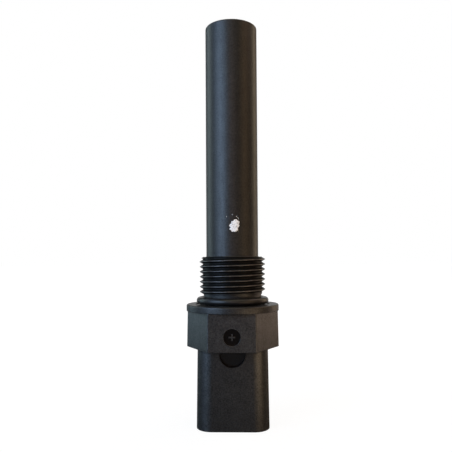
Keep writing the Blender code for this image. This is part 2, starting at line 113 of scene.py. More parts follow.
# Corners of the dab's ragged outline, across and up from its middle, in millimetres
DAB_OUTLINE = (
    (0.1, 1.9),
    (1.1, 1.5),
    (1.2, -0.4),
    (0.3, -1.7),
    (-0.5, -1.8),
    (-1.5, -0.9),
    (-1.0, -0.5),
    (-1.5, 0.1),
    (-0.9, 0.6),
    (-1.0, 1.1),
    (-0.4, 1.4),
)
# Specks that splashed off it: across, up and radius, in millimetres
DAB_SPECKS = (
    (0.6, 2.65, 0.12),
    (1.0, 2.3, 0.08),
    (1.2, 2.0, 0.09),
    (-0.6, 3.2, 0.08),
    (-2.3, 2.6, 0.08),
    (1.1, -1.7, 0.07),
)

# Soft boxes: azimuth and lift in degrees, distance, width and height in metres, linear tint, watts
LAMPS = {
    "cool_window": (-48.0, 12.0, 0.6, 0.42, 0.55, (0.50, 0.70, 1.00), 4.7),
    "cool_edge": (-116.0, 12.0, 0.6, 0.24, 0.55, (0.75, 0.95, 1.00), 1.0),
    "warm_edge": (125.0, 12.0, 0.6, 0.18, 0.55, (1.00, 0.80, 0.55), 0.77),
    "warm_side": (60.0, 12.0, 0.6, 0.30, 0.55, (1.00, 0.65, 0.35), 0.72),
    "top_front": (5.0, 64.0, 1.4, 1.30, 1.00, (1.00, 0.90, 0.65), 6.5),
    "top_right": (100.0, 48.0, 1.0, 0.50, 0.40, (1.00, 0.70, 0.60), 1.7),
    "top_left": (-100.0, 48.0, 1.0, 0.50, 0.40, (0.45, 0.60, 1.00), 0.6),
    "front_card": (2.0, 14.0, 0.5, 0.20, 0.24, (1.00, 0.70, 0.55), 0.24),
    "low_edge": (118.0, -9.0, 0.25, 0.14, 0.03, (1.00, 0.70, 0.60), 0.025),
    "low_cool": (-112.0, -9.0, 0.25, 0.14, 0.03, (0.35, 0.70, 1.00), 0.014),
    "warm_card": (42.0, -30.0, 0.1, 0.05, 0.018, (1.00, 0.75, 0.50), 0.023),
}
LAMP_AIM_Z = 60.0 * MM
ROOM_TINT = (0.05, 0.04, 0.03)
CEILING_DIM = 0.4
# Cosine of the angle, from straight behind the object, at which the white in reflections ends
BACKDROP_EDGE = 0.88
FLOOR_COLOUR = "#505050"
FLOOR_SIZE = 4.0
FLOOR_GLOW_NEAR = 0.92
FLOOR_GLOW_FAR = 1.0
SHADOW_REACH = 0.3

# Facets round a turn, and along a rounded corner
FINE_STEPS = 192
BORE_STEPS = 96
PIN_STEPS = 48
RING_SECTION_STEPS = 40
CORNER_STEPS = 16

# Room for rounding errors where heights are compared
SLACK = 0.01 * MM


# Colours and materials


def srgb(code):
    """A six-digit sRGB colour as a linear red, green, blue and alpha."""
    channels = [int(code[i : i + 2], 16) / 255 for i in (1, 3, 5)]
    linear = [c / 12.92 if c <= 0.04045 else ((c + 0.055) / 1.055) ** 2.4 for c in channels]
    return (*linear, 1.0)


def in_use(sockets, key=0):
    """A socket by its name or place, among those that its node's settings leave in use."""
    live = [socket for socket in sockets if socket.enabled]
    return live[key] if isinstance(key, int) else next(s for s in live if s.name == key)


def feed(tree, node, inputs):
    """Sets a node's inputs, each from a value, from a socket or from the first output of a node."""
    for key, value in inputs.items():
        if isinstance(value, bpy.types.Node):
            value = in_use(value.outputs)
        if isinstance(value, bpy.types.NodeSocket):
            tree.links.new(value, in_use(node.inputs, key))
        else:
            in_use(node.inputs, key).default_value = value


def add(tree, kind, inputs=None, **settings):
    """Adds a node with its settings and its inputs."""
    made = tree.nodes.new(kind)
    for key, value in settings.items():
        setattr(made, key, value)
    feed(tree, made, inputs or {})
    return made


def new_material(name, **constants):
    """A Principled material with its constants on the shader's own sockets."""
    material = bpy.data.materials.new(name)
    material.use_nodes = True
    shader = material.node_tree.nodes["Principled BSDF"]
    feed(material.node_tree, shader, {key.replace("_", " "): value for key, value in constants.items()})
    return material, material.node_tree, shader


def millimetres(tree, stretch=(1.0, 1.0, 1.0)):
    """Object coordinates in millimetres, so that a noise's scale counts its grains per millimetre."""
    place = add(tree, "ShaderNodeTexCoord").outputs["Object"]
    return add(tree, "ShaderNodeMapping", {"Vector": place, "Scale": tuple(1 / MM / s for s in stretch)})


def object_axes(tree):
    """The X, Y and Z of a place on the object, in metres."""
    place = add(tree, "ShaderNodeTexCoord").outputs["Object"]
    return add(tree, "ShaderNodeSeparateXYZ", {"Vector": place}).outputs


def tone_between(tree, pattern, low, high, dark, light):
    """A tone between two sRGB codes, as a pattern goes from low to high."""
    share = add(tree, "ShaderNodeMapRange", {"Value": pattern, "From Min": low, "From Max": high})
    ends = {"Factor": share, "A": srgb(dark), "B": srgb(light)}
    return add(tree, "ShaderNodeMix", ends, data_type="RGBA")


def laid_over(tree, base, places, data_type="FLOAT"):
    """The base, with another value laid over it where each mask in turn is 1."""
    for mask, other in places:
        base = add(tree, "ShaderNodeMix", {"Factor": mask, "A": base, "B": other}, data_type=data_type)
    return base


def vary(tree, shader, pattern, tones, roughness, bump, turns=(0.3, 0.7), relief=None):
    """One pattern varies a shader's tone and roughness, and raises its bumps unless a relief does.

    The bump is a strength and a height, and the turns are the pattern's levels at the two tones.
    """
    strength, height = bump
    least, most = roughness
    rough = add(tree, "ShaderNodeMapRange", {"Value": pattern, "To Min": least, "To Max": most})
    raised = {"Height": relief or pattern, "Strength": strength, "Distance": height}
    finish = {
        "Base Color": tone_between(tree, pattern, *turns, *tones),
        "Roughness": rough,
        "Normal": add(tree, "ShaderNodeBump", raised),
    }
    feed(tree, shader, finish)


def thread_zones(tree):
    """1 on the thread's crests, smoothed by wear and made paler as a painted highlight, and 1 in its
    valleys, darkened as painted shade, from the distance to the axis.
    """
    first_turn = 0.6 * MM
    wear_and_highlight_depth = 0.22 * MM
    skin = 0.04 * MM
    x, y, z = object_axes(tree)
    level = add(tree, "ShaderNodeCombineXYZ", {"X": x, "Y": y})
    radius = add(tree, "ShaderNodeVectorMath", {0: level}, operation="LENGTH")
    heights = {"Value": z, "From Min": THREAD_BASE, "From Max": THREAD_BASE + first_turn}
    above = add(tree, "ShaderNodeMapRange", heights)
    outside = add(tree, "ShaderNodeMath", {0: radius, 1: ROOT_RADIUS - skin}, operation="GREATER_THAN")
    thread = add(tree, "ShaderNodeMath", {0: above, 1: outside}, operation="MULTIPLY")
    radii = {"Value": radius, "From Min": CREST_RADIUS - wear_and_highlight_depth, "From Max": CREST_RADIUS - skin}
    wear_and_highlight = add(tree, "ShaderNodeMapRange", radii, interpolation_type="SMOOTHSTEP")
    crests = add(tree, "ShaderNodeMath", {0: thread, 1: wear_and_highlight}, operation="MULTIPLY")
    valleys = add(tree, "ShaderNodeMath", {0: thread, 1: crests}, operation="SUBTRACT")
    return crests, valleys


def mark_floor(tree):
    """1 on the polished floor of the mould mark's recess, darkened as painted shade, but not on the cross
    that stands out of it.
    """
    margin = 0.05 * MM
    skin = 0.06 * MM
    middle = (0.0, MARK_FLOOR_Y, HEX_BASE + MARK_HEIGHT)
    place = add(tree, "ShaderNodeTexCoord").outputs["Object"]
    offset = add(tree, "ShaderNodeVectorMath", {0: place, 1: middle}, operation="SUBTRACT")
    reach = add(tree, "ShaderNodeVectorMath", {0: offset}, operation="LENGTH")
    depth = add(tree, "ShaderNodeSeparateXYZ", {"Vector": offset}).outputs["Y"]
    near = add(tree, "ShaderNodeMath", {0: reach, 1: MARK_RADIUS + margin}, operation="LESS_THAN")
    deep = add(tree, "ShaderNodeMath", {0: depth, 1: -skin}, operation="GREATER_THAN")
    return add(tree, "ShaderNodeMath", {0: near, 1: deep}, operation="MULTIPLY")


def window_walls(tree):
    """1 on the latch window's walls, whose reflection is turned down as painted shade, from their place in
    the front wall.
    """
    margin = 0.02 * MM
    skin = 0.12 * MM
    half = WINDOW_WIDTH / 2 + margin
    front = -shroud_size(HEX_BASE)[1] / 2
    low = (-half, front + skin, HEX_BASE - WINDOW_HEIGHT - margin)
    high = (half, front + SHROUD_WALL - margin, HEX_BASE - margin)
    inside = 1.0
    for axis, least, most in zip(object_axes(tree), low, high):
        over = add(tree, "ShaderNodeMath", {0: axis, 1: least}, operation="GREATER_THAN")
        under = add(tree, "ShaderNodeMath", {0: axis, 1: most}, operation="LESS_THAN")
        both = add(tree, "ShaderNodeMath", {0: over, 1: under}, operation="MULTIPLY")
        inside = add(tree, "ShaderNodeMath", {0: inside, 1: both}, operation="MULTIPLY")
    return inside


def glass_filled_nylon():
    """Black glass-filled nylon from an eroded mould: a satin face whose gloss is broken up by fine grain."""
    material, tree, shader = new_material("nylon_glass_filled_moulded", IOR=1.53)
    even = {"Vector": millimetres(tree), "Detail": 3.0}
    drawn_out = {"Vector": millimetres(tree, (1.0, 1.0, 7.0)), "Detail": 3.0}
    cloud = add(tree, "ShaderNodeTexNoise", {**even, "Scale": 0.35, "Roughness": 0.6})
    # The real grain is too fine to show, so it is drawn about 0.4 mm wide
    grain = add(tree, "ShaderNodeTexNoise", {**even, "Scale": 2.4, "Roughness": 0.75})
    flow = add(tree, "ShaderNodeTexNoise", {**drawn_out, "Scale": 1.4, "Roughness": 0.6})
    crests, valleys = thread_zones(tree)
    mark = mark_floor(tree)

    # The eroded grain is coarsest and glossiest on the hexagon, and finest on the barrel
    height = object_axes(tree)["Z"]
    over_shroud = add(tree, "ShaderNodeMath", {0: height, 1: HEX_BASE - SLACK}, operation="GREATER_THAN")
    under_collar = add(tree, "ShaderNodeMath", {0: height, 1: COLLAR_BASE + SLACK}, operation="LESS_THAN")
    flats = add(tree, "ShaderNodeMath", {0: over_shroud, 1: under_collar}, operation="MULTIPLY")
    up_the_collar = {"From Min": COLLAR_BASE, "From Max": SEAT_Z, "To Min": 1.0, "To Max": 0.45}
    fading = add(tree, "ShaderNodeMapRange", {"Value": height, **up_the_collar})
    coarse = add(tree, "ShaderNodeMix", {"Factor": over_shroud, "A": 0.8, "B": fading})
    mottle = add(tree, "ShaderNodeMix", {"Factor": 0.78, "A": cloud, "B": grain})
    broken = add(tree, "ShaderNodeMix", {"Factor": coarse, "A": 0.5, "B": mottle})
    low = 0.32
    high = 0.68

    # Painted shade darkens the thread's valleys and the mould mark's floor, and a painted highlight makes
    # the thread's crests paler, with small nicks
    shadow = add(tree, "ShaderNodeMath", {0: valleys, 1: 0.55}, operation="MULTIPLY")
    painted_crest_highlight = tone_between(tree, grain, 0.52, 0.68, "#2c2a28", "#5c5854")
    moulded = tone_between(tree, broken, low, high, "#0a0a0a", "#161615")
    zones = ((shadow, srgb("#030302")), (crests, painted_crest_highlight), (mark, srgb("#080504")))
    tone = laid_over(tree, moulded, zones, "RGBA")

    eroded = add(tree, "ShaderNodeMapRange", {"Value": flow, "To Min": 0.36, "To Max": 0.54})
    rough = laid_over(tree, eroded, ((mark, 0.14), (crests, 0.3)))

    dullest = add(tree, "ShaderNodeMix", {"Factor": flats, "A": 0.17, "B": 0.27})
    glossiest = add(tree, "ShaderNodeMix", {"Factor": flats, "A": 0.73, "B": 0.86})
    by_grain = {"From Min": low, "From Max": high, "To Min": dullest, "To Max": glossiest}
    gloss = add(tree, "ShaderNodeMapRange", {"Value": broken, **by_grain})
    # Reflection is turned down as painted shade in the thread's valleys, on the latch window's walls and on
    # the mould mark's floor
    gloss = laid_over(tree, gloss, ((valleys, 0.1), (window_walls(tree), 0.05), (crests, 0.7), (mark, 0.3)))

    strength = add(tree, "ShaderNodeMath", {0: coarse, 1: 0.4}, operation="MULTIPLY")
    bump = add(tree, "ShaderNodeBump", {"Height": grain, "Strength": strength, "Distance": 0.06 * MM})
    feed(tree, shader, {"Base Color": tone, "Roughness": rough, "Specular IOR Level": gloss, "Normal": bump})
    return material


def socket_nylon():
    """Unfilled black nylon of the inner mouldings: smoother, glossier and darker than the outside."""
    material, tree, shader = new_material("nylon_inner_moulded", IOR=1.53)
    grain = add(tree, "ShaderNodeTexNoise", {"Vector": millimetres(tree), "Scale": 3.0, "Detail": 3.0})
    vary(tree, shader, grain, ("#080809", "#0e0e0f"), (0.14, 0.22), (0.2, 0.04 * MM))
    return material


def nitrile_rubber():
    """Moulded nitrile rubber: soft black with a faint oily shine and a dusty bloom."""
    material, tree, shader = new_material("rubber_nitrile_moulded", IOR=1.52, Specular_IOR_Level=0.36)
    place = millimetres(tree)
    bloom = add(tree, "ShaderNodeTexNoise", {"Vector": place, "Scale": 0.9, "Detail": 5.0, "Roughness": 0.7})
    pore = add(tree, "ShaderNodeTexNoise", {"Vector": place, "Scale": 6.0, "Detail": 2.0})
    tones = ("#0e0e0d", "#191817")
    vary(tree, shader, bloom, tones, (0.3, 0.46), (0.2, 0.03 * MM), turns=(0.35, 0.75), relief=pore)
    return material


def metal(name, tones, roughness, stretch=(1.0, 1.0, 1.0)):
    """A bare or plated metal whose tone and polish vary along its working marks."""
    material, tree, shader = new_material(name, Metallic=1.0)
    pattern = {"Vector": millimetres(tree, stretch), "Scale": 3.0, "Detail": 4.0, "Roughness": 0.6}
    marks = add(tree, "ShaderNodeTexNoise", pattern)
    vary(tree, shader, marks, tones, roughness, (0.15, 0.02 * MM))
    return material


def plastic(name, tones, roughness, index, scale):
    """A plain plastic or resin with slight mottling of its tone and gloss."""
    material, tree, shader = new_material(name, IOR=index)
    mottle = add(tree, "ShaderNodeTexNoise", {"Vector": millimetres(tree), "Scale": scale, "Detail": 3.0})
    vary(tree, shader, mottle, tones, roughness, (0.15, 0.04 * MM))
    return material


def inspection_paint():
    """White marker paint, dabbed on and dried: matt, with brush grain and greyer thin spots."""
    material, tree, shader = new_material("paint_white_dabbed", IOR=1.5, Specular_IOR_Level=0.35)
    place = millimetres(tree)
    grit = add(tree, "ShaderNodeTexNoise", {"Vector": place, "Scale": 2.4, "Detail": 5.0, "Roughness": 0.75})
    vary(tree, shader, grit, ("#acaca8", "#fbfaf8"), (0.5, 0.75), (0.4, 0.08 * MM), turns=(0.36, 0.5))
    return material


# Meshes


def add_object(name, data):
    """Puts a mesh, a lamp or a camera in the scene."""
    made = bpy.data.objects.new(name, data)
    bpy.context.scene.collection.objects.link(made)
    return made


def from_bmesh(name, bm):
    """Merges the shape's doubles, turns its faces outwards and puts it in the scene."""
    bmesh.ops.remove_doubles(bm, verts=bm.verts, dist=0.001 * MM)
    bmesh.ops.recalc_face_normals(bm, faces=bm.faces)
    mesh = bpy.data.meshes.new(name)
    bm.to_mesh(mesh)
    bm.free()
    return add_object(name, mesh)


def rounded(points, steps=4):
    """A profile of (radius, height, rounding) corners, with each rounded corner as a short curve."""
    outline = []
    for i, (radius, height, rounding) in enumerate(points):
        corner = Vector((radius, height))
        if rounding == 0 or i in (0, len(points) - 1):
            outline.append(corner)
            continue
        before = Vector(points[i - 1][:2]) - corner
        after = Vector(points[i + 1][:2]) - corner
        reach = min(rounding, before.length / 2, after.length / 2)
        first = corner + before.normalized() * reach
        last = corner + after.normalized() * reach
        for k in range(steps + 1):
            t = k / steps
            outline.append(first * (1 - t) ** 2 + corner * 2 * t * (1 - t) + last * t * t)
    return outline


def lathe(name, points, steps=FINE_STEPS, x=0.0):
    """A turned solid from a profile that starts and ends on the axis, or closes on itself."""
    bm = bmesh.new()
    verts = [bm.verts.new((p[0], 0.0, p[1])) for p in points]
    edges = [bm.edges.new(pair) for pair in zip(verts, verts[1:])]
    turn = {"cent": (0, 0, 0), "axis": (0, 0, 1), "angle": 2 * math.pi}
    bmesh.ops.spin(bm, geom=verts + edges, steps=steps, use_merge=True, **turn)
    bmesh.ops.translate(bm, verts=bm.verts, vec=(x, 0, 0))
    return from_bmesh(name, bm)


def tapered_box(name, low, high, base, top, corner, rim=0.0):
    """A box with rounded upright edges, from its (width, depth) at the base and at the top."""
    bm = bmesh.new()
    bmesh.ops.create_cube(bm, size=2.0)
    for vert in bm.verts:
        width, depth = high if vert.co.z > 0 else low
        vert.co.x *= width / 2
        vert.co.y *= depth / 2
        vert.co.z = top if vert.co.z > 0 else base
    upright = [e for e in bm.edges if abs(e.verts[0].co.z - e.verts[1].co.z) > SLACK]
    bmesh.ops.bevel(bm, geom=upright, offset=corner, segments=CORNER_STEPS, profile=0.5, affect="EDGES")
    if rim:
        lowest = [e for e in bm.edges if all(v.co.z < base + SLACK for v in e.verts)]
        bmesh.ops.bevel(bm, geom=lowest, offset=rim, segments=4, profile=0.5, affect="EDGES")
    return from_bmesh(name, bm)


def prism(name, outline, front, back):
    """A solid with one upright outline of (across, up) points, from the front to the back."""
    bm = bmesh.new()
    bm.faces.new([bm.verts.new((across, front, up)) for across, up in outline])
    swept = bmesh.ops.extrude_face_region(bm, geom=bm.faces[:])["geom"]
    moved = [item for item in swept if isinstance(item, bmesh.types.BMVert)]
    bmesh.ops.translate(bm, verts=moved, vec=(0, back - front, 0))
    return from_bmesh(name, bm)


def boolean(target, operation, *tools):
    """Works the tools into the target's mesh, and removes them."""
    for tool in tools:
        change = target.modifiers.new(tool.name, "BOOLEAN")
        change.operation = operation
        change.solver = "EXACT"
        change.object = tool
    bake(target)
    for tool in tools:
        bpy.data.objects.remove(tool, do_unlink=True)


def bake(target):
    """Replaces the target's mesh by its evaluated one, with no modifier left."""
    graph = bpy.context.evaluated_depsgraph_get()
    graph.update()
    mesh = bpy.data.meshes.new_from_object(target.evaluated_get(graph))
    mesh.name = target.name
    target.modifiers.clear()
    target.data = mesh


def smooth(piece, degrees=32.0):
    """Smooth shading between the sharp edges, with flat faces kept flat."""
    piece.data.shade_smooth()
    piece.data.set_sharp_from_angle(angle=math.radians(degrees))
    even = piece.modifiers.new("even_normals", "WEIGHTED_NORMAL")
    even.keep_sharp = True
    bake(piece)


def dress(piece, material, slot, *nodes):
    """Gives a finished piece its material and its body, and hides the nodes that it stands for. Its slot is
    not used.
    """
    piece.data.materials.clear()
    piece.data.materials.append(material)
    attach(piece, BODY)
    if nodes:
        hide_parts(*nodes)


# Thread ridge, by Geometry Nodes


def thread_tree():
    """A helical ridge with rounded crest corners, swept along a spiral and capped at both ends."""
    tree = bpy.data.node_groups.new("thread_ridge", "GeometryNodeTree")
    face = tree.interface
    for name, kind in (
        ("Pitch", "NodeSocketFloat"),
        ("Turns", "NodeSocketFloat"),
        ("Steps", "NodeSocketInt"),
        ("Middle Radius", "NodeSocketFloat"),
        ("Tooth Height", "NodeSocketFloat"),
        ("Base Width", "NodeSocketFloat"),
        ("Crest Width", "NodeSocketFloat"),
        ("Crest Rounding", "NodeSocketFloat"),
        ("Start Height", "NodeSocketFloat"),
        ("Start Angle", "NodeSocketFloat"),
        ("Start Scale", "NodeSocketFloat"),
        ("Run In", "NodeSocketFloat"),
        ("Material", "NodeSocketMaterial"),
    ):
        face.new_socket(name, in_out="INPUT", socket_type=kind)
    face.new_socket("Geometry", in_out="OUTPUT", socket_type="NodeSocketGeometry")
    given = add(tree, "NodeGroupInput").outputs

    rise = add(tree, "ShaderNodeMath", {0: given["Pitch"], 1: given["Turns"]}, operation="MULTIPLY")
    spiral = add(
        tree,
        "GeometryNodeCurveSpiral",
        {
            "Resolution": given["Steps"],
            "Rotations": given["Turns"],
            "Start Radius": given["Middle Radius"],
            "End Radius": given["Middle Radius"],
            "Height": rise,
            "Reverse": True,
        },
    )
    lift = add(tree, "ShaderNodeCombineXYZ", {"Z": given["Start Height"]})
    turn = add(tree, "ShaderNodeCombineXYZ", {"Z": given["Start Angle"]})
    placed = add(tree, "GeometryNodeTransform", {"Geometry": spiral, "Translation": lift, "Rotation": turn})
    upright = add(tree, "GeometryNodeSetCurveNormal", {"Curve": placed}, mode="Z_UP")
    along = add(tree, "GeometryNodeSplineParameter").outputs["Length"]
    growth = {"From Max": given["Run In"], "To Min": given["Start Scale"], "To Max": 1.0}
    grow = add(tree, "ShaderNodeMapRange", {"Value": along, **growth})
    tooth = add(
        tree,
        "GeometryNodeCurvePrimitiveQuadrilateral",
        {
            "Bottom Width": given["Base Width"],
            "Top Width": given["Crest Width"],
            "Offset": 0.0,
            "Height": given["Tooth Height"],
        },
        mode="TRAPEZOID",
    )
    easing = {"Count": 3, "Radius": given["Crest Rounding"], "Limit Radius": True}
    eased = add(tree, "GeometryNodeFilletCurve", {"Curve": tooth, **easing}, mode="POLY")
    facing = add(tree, "GeometryNodeTransform", {"Geometry": eased, "Rotation": (0.0, 0.0, PROFILE_TURN)})
    sweep = {"Curve": upright, "Profile Curve": facing, "Scale": grow, "Fill Caps": True}
    swept = add(tree, "GeometryNodeCurveToMesh", sweep)
    real = add(tree, "GeometryNodeRealizeInstances", {"Geometry": swept})
    coated = add(tree, "GeometryNodeSetMaterial", {"Geometry": real, "Material": given["Material"]})
    add(tree, "NodeGroupOutput", {"Geometry": coated})
    return tree


def set_inputs(modifier, values):
    """Sets a tree's inputs by their sockets' identifiers."""
    for item in modifier.node_group.interface.items_tree:
        if item.item_type == "SOCKET" and item.in_out == "INPUT" and item.name in values:
            modifier[item.identifier] = values[item.name]


def thread_ridge(material):
    """The ridge alone, trimmed by a cone at each end, ready to be joined to the core."""
    sunk = 0.06 * MM
    depth = CREST_RADIUS - ROOT_RADIUS + sunk
    start = THREAD_BASE + THREAD_START_RISE
    ridge = add_object("thread_ridge", bpy.data.meshes.new("thread_ridge"))
    sweep = ridge.modifiers.new("sweep", "NODES")
    sweep.node_group = thread_tree()
    set_inputs(
        sweep,
        {
            "Pitch": PITCH,
            "Turns": (THREAD_TOP - start + PITCH / 2) / PITCH,
            "Steps": FINE_STEPS,
            "Middle Radius": CREST_RADIUS - depth / 2,
            "Tooth Height": depth,
            "Base Width": CREST_WIDTH + 2 * depth * math.tan(FLANK_LEAN),
            "Crest Width": CREST_WIDTH,
            "Crest Rounding": CREST_ROUNDING,
            "Start Height": start,
            "Start Angle": THREAD_START_ANGLE,
            "Start Scale": 0.45,
            "Run In": 6.0 * MM,
            "Material": material,
        },
    )
    bake(ridge)
    over = CREST_RADIUS + 0.2 * MM
    under = ROOT_RADIUS - 0.2 * MM
    top = THREAD_TOP - 0.02 * MM
    base = THREAD_BASE + 0.02 * MM
    outline = [
        (0.0, top),
        (under, top),
        (over, THREAD_TOP - THREAD_LEAD_IN),
        (over, THREAD_BASE + THREAD_RUN_OUT),
        (under, base),
        (0.0, base),
    ]
    # A few more facets than the core has, so that no two edges lie on each other
    trim = lathe("thread_trim", outline, FINE_STEPS + 5)
    boolean(ridge, "INTERSECT", trim)
    return ridge


# The moulding


def body_profile():
    """Outline of barrel, thread root, neck, groove and collar, with each edge's own rounding."""
    seat_floor = SEAT_Z - 0.3 * MM
    groove_top = SEAT_Z + 1.8 * MM
    return rounded(
        [
            (0.0, TIP_Z, 0.0),
            (TIP_RADIUS, TIP_Z, 0.4 * MM),
            (BARREL_RADIUS, THREAD_TOP, 0.3 * MM),
            (ROOT_RADIUS, THREAD_TOP, 0.12 * MM),
            (ROOT_RADIUS, THREAD_BASE, 0.08 * MM),
            (NECK_RADIUS, THREAD_BASE, 0.08 * MM),
            (NECK_RADIUS, groove_top, 0.1 * MM),
            (GROOVE_RADIUS, groove_top - (NECK_RADIUS - GROOVE_RADIUS), 0.2 * MM),
            (GROOVE_RADIUS, seat_floor, 0.1 * MM),
            (RING_SEAT_RADIUS, seat_floor, 0.08 * MM),
            (RING_SEAT_RADIUS, SEAT_Z, 0.08 * MM),
            (COLLAR_RADIUS, SEAT_Z, 0.5 * MM),
            (COLLAR_RADIUS, COLLAR_BASE, 0.2 * MM),
            (0.0, COLLAR_BASE, 0.0),
        ]
    )


def hexagon():
    """The spanner hexagon with its draft and eased edges, run up into the collar."""
    bm = bmesh.new()
    to_corner = 1 / math.cos(math.radians(30))
    height = COLLAR_BASE - HEX_BASE
    overlap = 1.0 * MM
    low = HEX_HALF_FLATS * to_corner
    high = low - HEX_DRAFT * to_corner * (height + overlap) / height
    lifted = Matrix.Translation((0, 0, HEX_BASE + (height + overlap) / 2))
    turned = Matrix.Rotation(math.radians(90), 4, "Z")
    form = {"segments": 6, "radius1": low, "radius2": high, "depth": height + overlap}
    bmesh.ops.create_cone(bm, cap_ends=True, matrix=lifted @ turned, **form)
    edges = [e for e in bm.edges if any(v.co.z < HEX_BASE + SLACK for v in e.verts)]
    bmesh.ops.bevel(bm, geom=edges, offset=HEX_EASING, segments=3, profile=0.5, affect="EDGES")
    return from_bmesh("hexagon", bm)


def shroud_size(height, inset=0.0):
    """Width and depth of the shroud at a height, or of what lies an inset within it."""
    narrowed = 2 * (SHROUD_DRAFT * height / HEX_BASE + inset)
    return SHROUD_WIDTH - narrowed, SHROUD_DEPTH - narrowed


def window_cutter():
    """A U-shaped prism through the front wall, flush with the hexagon's underside."""
    steps = FINE_STEPS // 2
    radius = WINDOW_WIDTH / 2
    centre = HEX_BASE - WINDOW_HEIGHT + radius
    outline = [(radius, HEX_BASE), (-radius, HEX_BASE)]
    for i in range(steps + 1):
        angle = math.pi + math.pi * i / steps
        outline.append((radius * math.cos(angle), centre + radius * math.sin(angle)))
    front = -SHROUD_DEPTH / 2 - MM
    return prism("window", outline, front, front + SHROUD_WALL + 2.3 * MM)


def mark_cutter():
    """The round recess of the mould insert, in the front flat."""
    corners = [
        (0.0, MARK_DEPTH, 0.0),
        (MARK_RADIUS, MARK_DEPTH, 0.08 * MM),
        (MARK_RADIUS, -MM, 0.0),
        (0.0, -MM, 0.0),
    ]
    cutter = lathe("mark", rounded(corners), BORE_STEPS)
    moved = Matrix.Translation((0, MARK_FACE_Y, HEX_BASE + MARK_HEIGHT))
    cutter.data.transform(moved @ Matrix.Rotation(math.radians(-90), 4, "X"))
    return cutter


def mark_cross():
    """The plain raised cross on the recess's floor, sunk a little way into it."""
    long = CROSS_HALF_LENGTH
    thin = CROSS_HALF_WIDTH
    outline = []
    for across, up in ((1, 1), (1, -1), (-1, -1), (-1, 1)):
        corner = [(thin * across, long * up), (thin * across, thin * up), (long * across, thin * up)]
        outline += corner if across == up else corner[::-1]
    middle = HEX_BASE + MARK_HEIGHT
    points = [(across, middle + up) for across, up in outline]
    return prism("mark_cross", points, MARK_FLOOR_Y - CROSS_RISE, MARK_FLOOR_Y + CROSS_ROOT)


def build_moulding(material):
    """Barrel, thread, collar, hexagon and socket as one closed moulding."""
    body = lathe("sensor_moulding", body_profile())
    outside = (shroud_size(0.0), shroud_size(FLOOR_Z))
    shroud = tapered_box("shroud", *outside, 0.0, FLOOR_Z, SHROUD_CORNER, rim=RIM_ROUNDING)
    boolean(body, "UNION", thread_ridge(material), hexagon(), shroud)
    corner = SHROUD_CORNER - SHROUD_WALL
    inside = (shroud_size(-MM, SHROUD_WALL), shroud_size(FLOOR_Z, SHROUD_WALL))
    hollow = tapered_box("socket", *inside, -MM, FLOOR_Z, corner)
    widest = shroud_size(0.0, SHROUD_WALL - MOUTH_CHAMFER - MM)
    narrowest = shroud_size(0.0, SHROUD_WALL + MOUTH_CHAMFER)
    mouth = tapered_box("mouth", widest, narrowest, -MM, 2 * MOUTH_CHAMFER, corner)
    bore_base = FLOOR_Z - MM
    bore_profile = [(0.0, BORE_TOP), (BORE_RADIUS, BORE_TOP), (BORE_RADIUS, bore_base), (0.0, bore_base)]
    bore = lathe("bore", bore_profile, BORE_STEPS)
    boolean(body, "DIFFERENCE", hollow, mouth, bore, window_cutter(), mark_cutter())
    boolean(body, "UNION", mark_cross())
    smooth(body)
    dress(body, material, "housing_nylon", "housing")


def build_seal_ring(material):
    """The sealing ring, round in section, where its solid lies."""
    low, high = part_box("seal_ring")
    section = (high.z - low.z) / 2
    centre = (high.z + low.z) / 2
    middle = high.x - section
    outline = []
    for i in range(RING_SECTION_STEPS + 1):
        angle = math.radians(90 - 360 * i / RING_SECTION_STEPS)
        outline.append((middle + section * math.cos(angle), centre + section * math.sin(angle)))
    ring = lathe("sealing_ring", outline)
    smooth(ring)
    dress(ring, material, "seal_rubber", "seal_ring")


def dab_reach(angle):
    """How far the dab reaches from its middle in one direction, from the corners of its ragged outline."""
    corners = sorted((math.atan2(up, across), math.hypot(up, across)) for across, up in DAB_OUTLINE)
    # The outline goes on past its first and its last corner
    before_first = (corners[-1][0] - 2 * math.pi, corners[-1][1])
    after_last = (corners[0][0] + 2 * math.pi, corners[0][1])
    corners = [before_first, *corners, after_last]
    ragged = 1.0 + 0.2 * noise.noise(Vector((6.0 * math.cos(angle), 6.0 * math.sin(angle), 1.3)))
    for (before, near), (after, far) in zip(corners, corners[1:]):
        if angle <= after:
            break
    return (near + (far - near) * (angle - before) / (after - before)) * MM * ragged


def paint_lump(bm, middle, reach_at, thickness, rings, spokes):
    """One closed lump of paint that follows the barrel's curve, thicker in its middle."""
    lump_width = 0.4 * MM
    root = 0.04 * MM
    edge = 0.01 * MM
    sides = []
    for buried in (False, True):
        rows = []
        for k in range(rings + 1):
            share = k / rings
            row = []
            for s in range(spokes):
                angle = -math.pi + 2 * math.pi * s / spokes
                reach = reach_at(angle) * share
                across = middle[0] + reach * math.cos(angle)
                up = middle[1] + reach * math.sin(angle)
                lump = noise.noise(Vector((across, up, 0.0)) / lump_width)
                height = thickness * (1 - share**8) * (0.8 + 0.5 * lump)
                radius = BARREL_RADIUS - root if buried else BARREL_RADIUS - edge + height
                turn = DAB_ANGLE + across / BARREL_RADIUS
                place = (radius * math.cos(turn), radius * math.sin(turn), DAB_HEIGHT + up)
                row.append(bm.verts.new(place))
            rows.append(row)
        sides.append(rows)
    upper, lower = sides
    strips = [*zip(upper, upper[1:]), *zip(lower, lower[1:]), (upper[-1], lower[-1])]
    for first, second in strips:
        for s in range(spokes):
            t = (s + 1) % spokes
            bm.faces.new((first[s], first[t], second[t], second[s]))


def build_paint(material):
    """The dab, and the specks round it."""
    bm = bmesh.new()
    paint_lump(bm, (0.0, 0.0), dab_reach, DAB_THICKNESS, 16, 96)
    for across, up, radius in DAB_SPECKS:
        paint_lump(bm, (across * MM, up * MM), lambda angle, r=radius: r * MM, DAB_THICKNESS / 2, 4, 16)
    dab = from_bmesh("paint_dab", bm)
    smooth(dab, 60.0)
    dress(dab, material, None)


